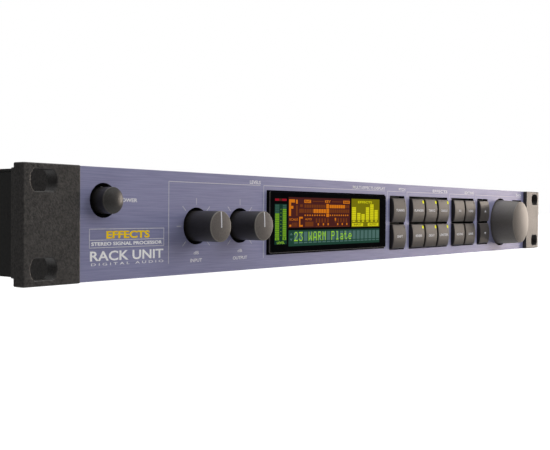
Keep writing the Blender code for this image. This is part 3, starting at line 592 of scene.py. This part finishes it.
def make_display():
    """The lit picture: level meters, a tuning field, effect bars and a line of dot characters."""
    face = span("display_lens")[1].z
    layers = {}

    def tile(key, left, low, right, high, level=2):
        bm = layers.setdefault(key, bmesh.new())
        add_box(bm, (left, low, face - INK), (right, high, face + level * LAYER))

    def row(key, left, right, low, high, count, share=0.8, level=3):
        """Equal segments side by side."""
        pitch = (right - left) / count
        for step in range(count):
            start = left + step * pitch
            tile(key, start, low, start + pitch * share, high, level)

    def column(key, left, right, low, high, count, share=0.8, level=3):
        pitch = (high - low) / count
        for step in range(count):
            start = low + step * pitch
            tile(key, left, start, right, start + pitch * share, level)

    def words(key, text, left, low, right, high, weight=0.0):
        bm = layers.setdefault(key, bmesh.new())
        add_text(bm, text, left, low, right, high, face + 3 * LAYER, weight)

    # level meters
    tile("red_dim", -97.85, 10.4, -88.7, 11.6)
    tile("red", -97.85, 10.5, -94.8, 11.5, 3)
    tile("red", -92.2, 10.5, -88.7, 11.5, 3)
    tile("teal_dark", -98.1, -10.75, -88.45, 8.95)
    for left, right, lit, count in ((-97.75, -94.55, 4.5, 13), (-91.8, -88.9, 6.75, 15)):
        column("meter", left, right, -6.95, lit, count)
        column("teal", left, right, lit, 8.8, round((8.8 - lit) / 0.88))
        tile("meter", left, -8.7, right, -7.2, 3)
    column("meter", -93.5, -92.9, -6.5, 8.0, 8, 0.2)
    words("lime", "LEVEL", -96.2, -10.5, -90.1, -9.35)
    words("teal_dark", "L", -96.6, -8.5, -95.7, -7.4, 0.03)
    words("teal_dark", "R", -90.8, -8.5, -89.8, -7.4, 0.03)

    # tuning field
    tile("rust", -87.05, -2.7, -31.7, 12.4)
    marks = {
        "amber": ((-86.7, 3.1, -85.1, 11.35), (-85.1, 9.75, -81.9, 11.35), (-85.1, 6.7, -83.2, 8.1),
                  (-81.0, 9.2, -79.6, 11.2), (-74.0, 9.7, -68.2, 11.3), (-38.6, 9.7, -32.2, 11.3),
                  (-54.4, 2.6, -51.9, 4.3), (-86.3, -2.2, -84.8, -1.2), (-78.25, -2.3, -77.3, 2.7),
                  (-77.3, 1.8, -75.2, 2.7), (-77.3, -2.3, -75.2, -1.4)),
        "amber_dim": ((-80.9, 3.2, -79.6, 8.4), (-77.5, 7.6, -75.3, 8.9), (-78.3, 4.7, -74.3, 6.7),
                      (-66.8, 10.4, -57.0, 10.8), (-49.3, 10.4, -39.9, 10.8), (-73.1, -2.2, -66.0, 0.2),
                      (-64.0, -2.5, -32.3, -2.3)),
    }
    for key, boxes in marks.items():
        for edges in boxes:
            tile(key, *edges, 3)
    for key, text, *edges in (("rust", "FLAT", -73.4, 10.0, -68.8, 11.0, 0.02),
                              ("amber", "KEY", -55.65, 9.9, -50.5, 11.3, 0.02),
                              ("rust", "SHARP", -38.0, 10.0, -32.8, 11.0, 0.02),
                              ("amber", "SCALE", -86.4, 0.85, -79.4, 1.95),
                              ("amber", "AUTO", -73.1, 0.95, -67.5, 2.0)):
        words(key, text, *edges)
    for low, high in ((7.3, 8.9), (4.7, 6.6)):
        row("amber_dim", -73.8, -32.3, low, high, 20)
    row("amber", -51.4, -36.6, 7.2, 8.95, 7, 0.86, 4)
    row("amber", -65.9, -54.5, 4.6, 6.65, 5, 0.86, 4)
    tile("amber", -54.4, 7.1, -52.1, 9.35, 4)
    tile("amber", -54.3, 4.5, -52.0, 6.9, 4)
    row("amber", -73.7, -54.6, 3.1, 3.8, 9, 0.5)
    row("amber", -51.2, -32.4, 3.1, 3.8, 9, 0.5)
    row("amber_dim", -83.9, -79.4, -2.2, -0.2, 4, 0.6)
    for left in (-63.9, -46.4):
        row("amber_dim", left, left + 13.0, -0.3, 1.9, 5, 0.5)
    for x in (-61.6, -57.0, -52.65, -43.7, -39.3, -34.85):
        tile("amber", x - 0.55, -1.75, x + 0.55, -0.65, 4)
    tile("amber", -46.5, 0.7, -45.3, 2.1, 4)

    # effect bars
    tile("olive", -30.25, -2.9, -1.1, 12.5)
    words("lemon", "EFFECTS", -23.8, 10.1, -9.2, 11.35, 0.02)
    bars = ((-29.8, -25.8, 8.1), (-24.5, -21.2, 4.9), (-20.2, -16.8, 4.3),
            (-15.6, -12.15, 8.1), (-11.1, -7.4, 9.8), (-6.4, -2.9, 6.6))
    for left, right, top in bars:
        column("lemon", left, right, 1.0, top, max(2, round((top - 1) / 0.95)), 0.86)
        tile("lemon", left + 0.6, -0.1, right - 0.6, 0.6, 3)
    for left, right, text in ((-29.6, -18.4, "INPUT"), (-13.55, -2.2, "OUTPUT")):
        tile("lemon", left, -2.5, right, -0.75, 3)
        words("olive", text, left + 1.6, -2.15, right - 1.6, -1.05, 0.03)

    # line of characters
    tile("forest", -86.9, -11.9, -0.9, -3.95)
    for low, high, tip in ((-6.4, -5.2, 1), (-9.3, -8.1, -1)):
        bm = layers.setdefault("cell", bmesh.new())
        base, point = (low, high) if tip > 0 else (high, low)
        add_prism(bm, [(-85.9, base), (-83.6, base), (-84.75, point)], face - INK, face + 3 * LAYER)
    pitch, wide, dot_x, dot_y = 4.1, 3.15, 0.63, 0.664
    for place in range(20):
        left = -82.4 + place * pitch
        tile("cell", left, -9.45, left + wide, -4.8, 3)
        tile("cell", left, -10.55, left + wide, -9.95, 3)
        letter = SHOWN[place] if place < len(SHOWN) else " "
        for line, marks in enumerate(LETTERS.get(letter, "").split()):
            for across, mark in enumerate(marks):
                if mark == "#":
                    x, y = left + across * dot_x, -4.8 - (line + 1) * dot_y
                    tile("lime", x, y, x + dot_x * 0.92, y + dot_y * 0.92, 4)
    for key, bm in layers.items():
        piece("display_" + key, bm, PANEL, [key])


# ---------------------------------------------------------------- controls

def make_power_button():
    """A round cap with a high dome and a paler edge, a painted highlight."""
    low, high = span("power_button")
    x, y = middle("power_button")
    radius, back = (high.x - low.x) / 2, low.z
    rise = 1.5
    rim = high.z - rise
    profile = [*dome(radius - 0.35, rim + 0.25, rise - 0.25, 14),
               *arc((radius - 0.35, rim - 0.1), 0.35, 80, 0, 4, 1),
               (radius, back + 0.4, 2), (radius - 0.4, back, 2), (0, back, 2)]
    bm = bmesh.new()
    add_lathe(bm, profile, x, y)
    piece("power_cap", bm, PANEL, ["power", "power_painted_rim_highlight", "knob"],
          ["power_button"], "power_button")


def make_knob(name):
    """A black barrel, a paler domed cap, a painted rim highlight and a white pointer; barrel and cap are one
    plastic, darkened and paled as painted shade and painted light.
    """
    low, high = span(name)
    x, y = middle(name)
    radius, back, rim = (high.x - low.x) / 2, low.z, high.z
    top = rim + KNOB_DOME
    hollow = radius - 1.4
    profile = [*dome(radius - 0.42, rim, KNOB_DOME, 16, 1), (radius - 0.30, rim - 0.02, 2),
               *arc((radius - 0.28, rim - 0.30), 0.28, 75, 0, 4, 2), (radius, rim - 1.2, 0),
               (radius, back + 0.3, 0), (radius - 0.3, back, 0), (hollow, back, 0),
               (hollow, SKIRT_TOP, 0), (SHAFT_BORE, SKIRT_TOP, 0), (SHAFT_BORE, rim - 3, 0), (0, rim - 3, 0)]
    bm = bmesh.new()
    add_lathe(bm, profile, x, y)
    piece(name + "_turned", bm, PANEL, ["knob", "knob_cap", "painted_rim_highlight"], [name], name)
    bm = bmesh.new()
    inner, outer, half, steps = -0.5, radius - 0.36, 0.30, 14
    sphere = ((radius - 0.42) ** 2 + KNOB_DOME ** 2) / (2 * KNOB_DOME)
    sections = []
    for step in range(steps + 1):
        out = inner + (outer - inner) * step / steps
        height = top - sphere + math.sqrt(sphere * sphere - out * out)
        sections.append([bm.verts.new((x + side * half, y + out, height + lift))
                         for side, lift in ((-1, -0.2), (1, -0.2), (1, 0.05), (-1, 0.05))])
    for first, second in zip(sections, sections[1:]):
        for corner in range(4):
            following = (corner + 1) % 4
            bm.faces.new((first[corner], first[following], second[following], second[corner]))
    bm.faces.new(sections[0])
    bm.faces.new(sections[-1])
    bmesh.ops.recalc_face_normals(bm, faces=bm.faces)
    piece(name + "_pointer", bm, PANEL, ["pointer"], body=name)


def make_wheel():
    """A wide tapered wheel with a rounded shoulder, a painted rim highlight and a low dome; its side's grey
    is partly painted reflection.
    """
    low, high = span("data_wheel")
    x, y = middle("data_wheel")
    base, back, front = (high.x - low.x) / 2, low.z, high.z
    rim = front - WHEEL_DOME
    face, hollow = 14.6, base - 2
    profile = [*dome(face - 0.28, rim, WHEEL_DOME, 20, 1), (face - 0.13, rim - 0.02, 2),
               (face - 0.02, rim - 0.07, 2), *arc((face - 0.3, rim - 0.42), 0.45, 45, 4, 5),
               (base, back + 0.3, 0), (base - 0.3, back, 0), (hollow, back, 0), (hollow, SKIRT_TOP, 0),
               (SHAFT_BORE, SKIRT_TOP, 0), (SHAFT_BORE, front - 4, 0), (0, front - 4, 0)]
    bm = bmesh.new()
    add_lathe(bm, profile, x, y, 144)
    piece("data_wheel_turned", bm, PANEL, ["wheel_side", "wheel_cap", "painted_rim_highlight"],
          ["data_wheel"], "data_wheel")


LEGENDS = {
    "pitch_button_1_upper": ("TUNING", 9.6), "pitch_button_1_lower": ("SHIFT", 6.5),
    "effect_button_1_upper": ("FLANGER", 11.6), "effect_button_1_lower": ("REVERB", 8.0),
    "effect_button_2_upper": ("TREMOLO", 8.6), "effect_button_2_lower": ("DELAY", 7.6),
    "effect_button_3_upper": ("CHORUS", 8.6), "effect_button_3_lower": ("LIMITER", 11.6),
    "edit_button_1_upper": ("EQ", 3.2), "edit_button_1_lower": ("ROUTING", 9.0),
    "edit_button_2_upper": ("LOAD", 7.0), "edit_button_2_lower": ("SAVE", 7.0),
    "enter_button_1_upper": ("OK", 4.0), "enter_button_1_lower": ("BACK", 7.0),
}


def make_button(name, group):
    """A cap that bulges between its top and bottom, with soft front edges, a stem and a legend."""
    low, high = span(name)
    x, y = middle(name)
    half_width, half = (high.x - low.x) / 2, (high.y - low.y) / 2
    back, front, bulge, stem = -8.0, high.z, 1.1, 2
    radius = (half * half + bulge * bulge) / (2 * bulge)
    reach = math.asin(half / radius)
    steps = 20
    bow = [(front - radius + radius * math.cos(a), radius * math.sin(a))
           for a in (-reach + 2 * reach * step / steps for step in range(steps + 1))]
    bm = bmesh.new()
    add_prism(bm, [(back, -half), *bow, (back, half)], -half_width, half_width)
    bmesh.ops.rotate(bm, verts=bm.verts, matrix=Matrix.Rotation(-math.pi / 2, 3, "Y"))
    soften(bm, CAP_ROUND, 4, 40, lambda edge: max(v.co.z for v in edge.verts) > front - bulge - 0.2)
    add_box(bm, (-stem, -stem, low.z), (stem, stem, back + 0.5))
    place = PANEL @ Matrix.Translation((x, y, 0))
    # painted shade: the cap's left and right end faces take the near-black knob material
    for face in bm.faces:
        if abs(face.normal.x) > 0.9:
            face.material_index = 1
    piece(name + "_cap", bm, place, ["cap", "knob"], [name], name)
    bm = bmesh.new()
    if group == "arrow":
        tip = 1 if name.endswith("upper") else -1
        add_prism(bm, [(-1.4, -tip * 0.75), (1.4, -tip * 0.75), (0, tip * 0.85)], front - INK, front + INK)
    else:
        text, width = LEGENDS[name]
        add_text(bm, text, -width / 2, -0.75, width / 2, 0.75, front - 0.01, 0.02)
    piece(name + "_legend", bm, place, ["legend"], body=name)
    if group in ("effect", "pitch") or name == "edit_button_2_upper":
        lit = group == "effect"
        across, along = (1.9, 1.8) if lit else (0.9, 1.3)
        inset = 0.45 if lit else 1.3
        middle_up = half - 1.05 - along / 2
        tilt = math.asin(middle_up / radius)
        surface_z = front - radius + radius * math.cos(tilt)
        bm = new_box((-across / 2, -along / 2, -0.6), (across / 2, along / 2, 0.05))
        soften(bm, 0.12, 2)
        lamp = place @ Matrix.Translation((half_width - inset - across / 2, middle_up, surface_z))
        lamp = lamp @ Matrix.Rotation(-tilt, 4, "X")
        piece(name + "_lamp", bm, lamp, ["lamp" if lit else "lamp_dark"], body=name)


def make_buttons():
    for group, columns in GROUPS.items():
        for column in range(1, columns + 1):
            for row in ("upper", "lower"):
                make_button(f"{group}_button_{column}_{row}", group)


# ---------------------------------------------------------------- chassis and rear

def make_screw(name, place, radius, rise, replaces=()):
    """A low round head standing on its place's z = 0, with a cross recess."""
    profile = [*dome(radius - 0.25, rise * 0.55, rise * 0.45, 8), (radius, rise * 0.3, 0), (radius, 0, 0),
               (radius * 0.5, -0.3, 0), (0, -0.3, 0)]
    head, cross, bar = bmesh.new(), bmesh.new(), bmesh.new()
    add_lathe(head, profile, segments=48)
    arm, width, floor = radius * 0.62, radius * 0.11, rise - 0.9
    add_box(cross, (-arm, -width, floor), (arm, width, rise + 1))
    add_box(bar, (-width, -arm, floor), (width, arm, rise + 1))
    head = combine(head, combine(cross, bar, "UNION"))
    piece(name + "_head", head, place @ MILLIMETRES, ["steel"], replaces)


def make_fasteners():
    """Countersunk screws in the cover, round heads on the ears' legs and small ones at the rear."""
    for across, side in (("left", -1), ("right", 1)):
        for along in ("front", "rear"):
            name = f"cover_screw_{across}_{along}"
            low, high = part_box(name)
            place = Matrix.Translation(((low.x + high.x) / 2, (low.y + high.y) / 2, high.z - 0.55 * MM))
            make_screw(name, place, 2.95, 0.55, [name])
            name = f"ear_screw_{across}_{along}"
            low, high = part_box(name)
            face = low.x + 1.5 * MM if side < 0 else high.x - 1.5 * MM
            place = Matrix.Translation((face, (low.y + high.y) / 2, (low.z + high.z) / 2))
            make_screw(name, place @ Matrix.Rotation(side * math.pi / 2, 4, "Y"), 3.0, 1.5, [name])
    at_rear = REAR @ MILLIMETRES.inverted()
    for number, (x, y) in enumerate(REAR_SCREWS):
        make_screw(f"rear_screw_{number}", at_rear @ Matrix.Translation((x * MM, y * MM, 0)), 2.2, 1.2)


def rear_x(node):
    """Where a rear node's middle lies across, in the rear frame."""
    low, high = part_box(node)
    return -(low.x + high.x) / 2 / MM


JACKS = {"pedal_jack": "PEDAL", "output_right_jack": "OUTPUT R", "output_left_jack": "OUTPUT L",
         "input_right_jack": "INPUT R", "input_left_jack": "INPUT L"}
FIVE_PIN = {"midi_in_socket": "MIDI IN", "midi_out_socket": "MIDI OUT", "midi_thru_socket": "MIDI THRU"}
PHONO = {"digital_in_socket": "DIGITAL IN", "digital_out_socket": "DIGITAL OUT"}
REAR_HOLES = ((JACKS, 6.0), (FIVE_PIN, 7.9), (PHONO, 4.6))
REAR_SCREWS = [(x, y) for x in (-208, -96, 0, 96, 208) for y in (-17.5, 16.0)]


def make_rear_panel():
    """The sheet with its holes, and a printed name over each socket."""
    low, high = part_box("rear_panel")
    bottom, top = (low.z - MID_Z) / MM, (high.z - MID_Z) / MM
    bm = new_box((low.x / MM, bottom, -SHEET), (high.x / MM, top, 0))
    holes = bmesh.new()
    inlet = rear_x("mains_inlet")
    add_box(holes, (inlet - 14.2, -10.7, -3), (inlet + 14.2, 10.7, 2))
    printed = bmesh.new()
    for sockets, radius in REAR_HOLES:
        for name, words in sockets.items():
            x, half = rear_x(name), len(words) * 0.72
            add_disc(holes, x, 0, -3, 2, radius)
            add_text(printed, words, x - half, 12.6, x + half, 14.3, 0, 0.01)
    bm = combine(bm, holes)
    soften(bm, 0.2, 2)
    piece("rear_sheet", bm, REAR, ["chassis"], ["rear_panel"])
    add_text(printed, "MAINS", inlet - 4, 13.2, inlet + 4, 14.9, 0, 0.01)
    piece("rear_print", printed, REAR, ["ink"])


def make_inlet():
    """A three-blade mains inlet: a flange with rounded corners round a deep keyed recess."""
    x = rear_x("mains_inlet")
    bm = new_box((x - 25, -11.5, 0.3), (x + 25, 11.5, 3))
    bevel(bm, upright_edges(bm, 1), 7, 8)
    tub = new_box((x - 13.8, -10.3, -15), (x + 13.8, 10.3, 1))
    bm = combine(bm, tub, "UNION")
    recess = bmesh.new()
    outline = [(-12.2, -8.3), (12.2, -8.3), (12.2, 4), (8, 8.3), (-8, 8.3), (-12.2, 4)]
    add_prism(recess, [(x + across, up) for across, up in outline], -13, 4)
    bm = combine(bm, recess)
    soften(bm, 0.35, 3)
    piece("mains_inlet_body", bm, REAR, ["plastic"], ["mains_inlet"])
    bm = bmesh.new()
    for across, up in ((-7, -1.5), (7, -1.5), (0, 3)):
        add_box(bm, (x + across - 1, up - 2, -14), (x + across + 1, up + 2, 0))
    soften(bm, 0.3, 2)
    piece("mains_inlet_blades", bm, REAR, ["nickel"])
    for side in (-1, 1):
        place = REAR @ MILLIMETRES.inverted() @ Matrix.Translation(((x + side * 20) * MM, 0, 3 * MM))
        make_screw(f"inlet_screw_{'left' if side < 0 else 'right'}", place, 2.6, 1.1)


def thread(radius, low, high, pitch=0.6, depth=0.3):
    """Profile points of a fine thread, from its top down."""
    points, height = [], high
    while height - pitch >= low:
        points += [(radius, height, 0), (radius - depth, height - pitch / 2, 0)]
        height -= pitch
    return points


def make_jack(name):
    """A quarter-inch jack: body behind the panel, washer, hexagonal nut and threaded bush."""
    x = rear_x(name)
    body = new_box((x - 8, -10, -28), (x + 8, 10, BEHIND))
    bore = bmesh.new()
    add_disc(bore, x, 0, -26, 2, 3.25, 48)
    body = combine(body, bore)
    soften(body, 0.4, 2)
    piece(name + "_body", body, REAR, ["plastic"], [name])
    nut = bmesh.new()
    add_disc(nut, x, 0, 0.55, 2.5, 7.4, 6)
    hole = bmesh.new()
    add_disc(hole, x, 0, 0, 3, 5.0, 48)
    nut = combine(nut, hole)
    soften(nut, 0.35, 2)
    add_lathe(nut, [(7.9, 0.5, 0), (7.9, 0.1, 0), (5.2, 0.1, 0), (5.2, 0.5, 0), (7.9, 0.5, 0)], x, 0)
    piece(name + "_nut", nut, REAR, ["nickel"])
    bush = bmesh.new()
    profile = [(5.1, 4.3, 0), *thread(5.4, -1.4, 4.1), (5.1, -1.45, 0), (3.25, -1.45, 0), (3.25, 3.9, 0),
               (3.65, 4.3, 0), (5.1, 4.3, 0)]
    add_lathe(bush, profile, x, 0, 64)
    piece(name + "_bush", bush, REAR, ["nickel"])


def make_five_pin(name):
    """A five-pin socket: a lipped shell round a ring gap and a plug with five pin holes."""
    x = rear_x(name)
    bm = new_box((x - 10, -10, -14), (x + 10, 10, BEHIND))
    nose = bmesh.new()
    add_disc(nose, x, 0, -2.2, 0.5, 7.5, 96)
    bm = combine(bm, nose, "UNION")
    groove = bmesh.new()
    add_lathe(groove, [(6.9, 1, 0), (6.9, -9, 0), (4.9, -9, 0), (4.9, 1, 0), (6.9, 1, 0)], x, 0)
    bmesh.ops.recalc_face_normals(groove, faces=groove.faces)
    bm = combine(bm, groove)
    pins = bmesh.new()
    for pin in range(5):
        angle = math.radians(90 + (pin - 2) * 45)
        add_disc(pins, x + 3.3 * math.cos(angle), -3.3 * math.sin(angle), -9, 1, 0.8, 20)
    add_box(pins, (x - 1, 4.4, -9), (x + 1, 5.4, 1))
    bm = combine(bm, pins)
    soften(bm, 0.15, 2)
    piece(name + "_shell", bm, REAR, ["plastic"], [name])


def make_phono(name):
    """A plated phono barrel with a pale insulator round its middle contact."""
    x = rear_x(name)
    bm = bmesh.new()
    profile = [(4.2, 7.9, 0), (4.2, 2.6, 0), (4.6, 2.3, 0), (4.6, BEHIND, 0), (7, BEHIND, 0), (7, -8, 0),
               (3.3, -8, 0), (3.3, 8.2, 0), (3.5, 8.5, 0), (3.85, 8.5, 0), (4.2, 8.15, 0), (4.2, 7.9, 0)]
    add_lathe(bm, profile, x, 0)
    piece(name + "_barrel", bm, REAR, ["gold"], [name])
    bm = bmesh.new()
    add_lathe(bm, [(3.25, 7.2, 0), (3.25, -5.9, 0), (1.75, -5.9, 0), (1.75, 6.9, 0), (2.0, 7.2, 0),
                   (3.25, 7.2, 0)], x, 0, 64)
    piece(name + "_insulator", bm, REAR, ["insulator"])


def make_chassis():
    refined("chassis_pan", "pan_sheet", "chassis", 0.35)
    refined("top_cover", "cover_sheet", "chassis", 0.35)
    # painted shade: the sheet behind the panel's holes is near black
    refined("sub_panel", "sub_panel_sheet", "shade", 0.2)
    make_rear_panel()
    make_inlet()
    for name in JACKS:
        make_jack(name)
    for name in FIVE_PIN:
        make_five_pin(name)
    for name in PHONO:
        make_phono(name)
    make_fasteners()


KEPT = {
    "plastic": ("display_module", "power_switch", "input_rotary", "output_rotary", "wheel_rotary"),
    "shaft": ("input_shaft", "output_shaft", "wheel_shaft"),
    "board": ("control_board", "main_board", "supply_board"),
    "winding": ("transformer",),
    "cable": ("ribbon_cable",),
}


def finish_inside():
    """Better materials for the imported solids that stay, all behind the panel."""
    for key, names in KEPT.items():
        for name in names:
            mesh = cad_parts[name].data
            mesh.materials.clear()
            mesh.materials.append(MATERIALS[key])


# ---------------------------------------------------------------- studio

REFLECTOR = (0.978, -0.208, 0.06)  # which way the warm reflector at the right lies
REFLECTOR_EDGE, REFLECTOR_CORE, REFLECTOR_GAIN = 0.966, 0.998, 8.0  # cosines off that way, brightness
WARM = (1.0, 0.86, 0.74)


def make_world():
    """Soft light from overhead, a bright side to the right and a darker horizon; plain white behind."""
    world = bpy.data.worlds.new("studio")
    bpy.context.scene.world = world
    world.use_nodes = True
    tree = world.node_tree
    background = tree.nodes["Background"]
    direction = add_node(tree, "TexCoord").outputs["Generated"]
    apart = add_node(tree, "SeparateXYZ")
    tree.links.new(direction, apart.inputs[0])

    def eased(value, start, end, low, high):
        return add_range(tree, value, low, high, start, end, "SMOOTHSTEP")

    def worked(operation, first, second, output=0):
        """A vector sum, product or dot product of two values, each a colour or another node's output."""
        made = add_node(tree, "VectorMath", {"operation": operation})
        for socket, value in zip(made.inputs, (first, second)):
            if isinstance(value, bpy.types.NodeSocket):
                tree.links.new(value, socket)
            else:
                socket.default_value = value
        return made.outputs[output]

    toward = worked("DOT_PRODUCT", direction, Vector(REFLECTOR).normalized(), "Value")
    warm = worked("MULTIPLY", WARM, eased(toward, REFLECTOR_EDGE, REFLECTOR_CORE, 0.0, REFLECTOR_GAIN))
    sky = worked("ADD", eased(apart.outputs["Z"], 0.3, 0.95, 0.075, 0.9),
                 eased(apart.outputs["Z"], -0.2, -0.6, 0.0, 0.45))
    seen = add_node(tree, "LightPath").outputs["Is Camera Ray"]
    hidden = worked("SUBTRACT", (1, 1, 1), seen)
    shown = worked("ADD", worked("MULTIPLY", worked("ADD", warm, sky), hidden), seen)
    tree.links.new(shown, background.inputs["Color"])
    background.inputs["Strength"].default_value = 1


def add_softbox(name, at, towards, size, power, reflected=True):
    light = bpy.data.lights.new(name, "AREA")
    light.shape = "RECTANGLE"
    light.size, light.size_y = size
    light.energy = power
    thing = bpy.data.objects.new(name, light)
    thing.location = at
    thing.rotation_euler = (Vector(towards) - Vector(at)).to_track_quat("-Z", "Y").to_euler()
    thing.visible_camera = False
    thing.visible_glossy = reflected
    bpy.context.collection.objects.link(thing)


def make_floor():
    """Plain pale paper under the unit, which throws no colour on to it."""
    bm = bmesh.new()
    bmesh.ops.create_circle(bm, cap_ends=True, segments=64, radius=12)
    mesh = bpy.data.meshes.new("floor")
    bm.to_mesh(mesh)
    bm.free()
    mesh.materials.append(surface("floor_paper", (0.82, 0.82, 0.82), (0.86, 0.86, 0.86), (0.7, 0.8), 0.05,
                                  Specular_IOR_Level=0.1, Emission_Color=(1, 1, 1, 1),
                                  Emission_Strength=0.9))
    floor = bpy.data.objects.new("floor", mesh)
    floor.location.z = -0.0002
    floor.visible_diffuse = False
    floor.visible_glossy = False
    bpy.context.collection.objects.link(floor)


def make_camera():
    """A camera low at the left, close enough for the right end to shrink."""
    yaw, pitch, roll = (math.radians(a) for a in (CAMERA_YAW, CAMERA_PITCH, CAMERA_ROLL))
    ahead = Vector((math.sin(yaw) * math.cos(pitch), math.cos(yaw) * math.cos(pitch), math.sin(pitch)))
    level = Vector((math.cos(yaw), -math.sin(yaw), 0))
    raised = level.cross(ahead)
    right = math.cos(roll) * level + math.sin(roll) * raised
    up = math.cos(roll) * raised - math.sin(roll) * level
    data = bpy.data.cameras.new("camera")
    data.lens = CAMERA_LENS
    data.sensor_width = 36
    data.clip_start = 0.02
    camera = bpy.data.objects.new("camera", data)
    turned = Matrix((right, up, -ahead)).transposed().to_4x4()
    camera.matrix_world = Matrix.Translation((CAMERA_X, FRONT_Y - CAMERA_AHEAD, CAMERA_Z)) @ turned
    bpy.context.collection.objects.link(camera)
    bpy.context.scene.camera = camera


def make_studio():
    make_camera()
    make_world()
    make_floor()
    add_softbox("overhead", (0.1, -0.5, 2.2), (0, 0, 0), (2.4, 1.6), 15)
    add_softbox("key", (1.3, -1.5, 0.9), (0, 0, 0.02), (1.1, 1.1), 24, False)
    bpy.context.scene.view_settings.view_transform = "Standard"


make_studio()
make_ears()
make_plate()
make_panel_print()
make_lens()
make_display()
make_power_button()
for knob in ("input_knob", "output_knob"):
    make_knob(knob)
make_wheel()
make_buttons()
make_chassis()
finish_inside()
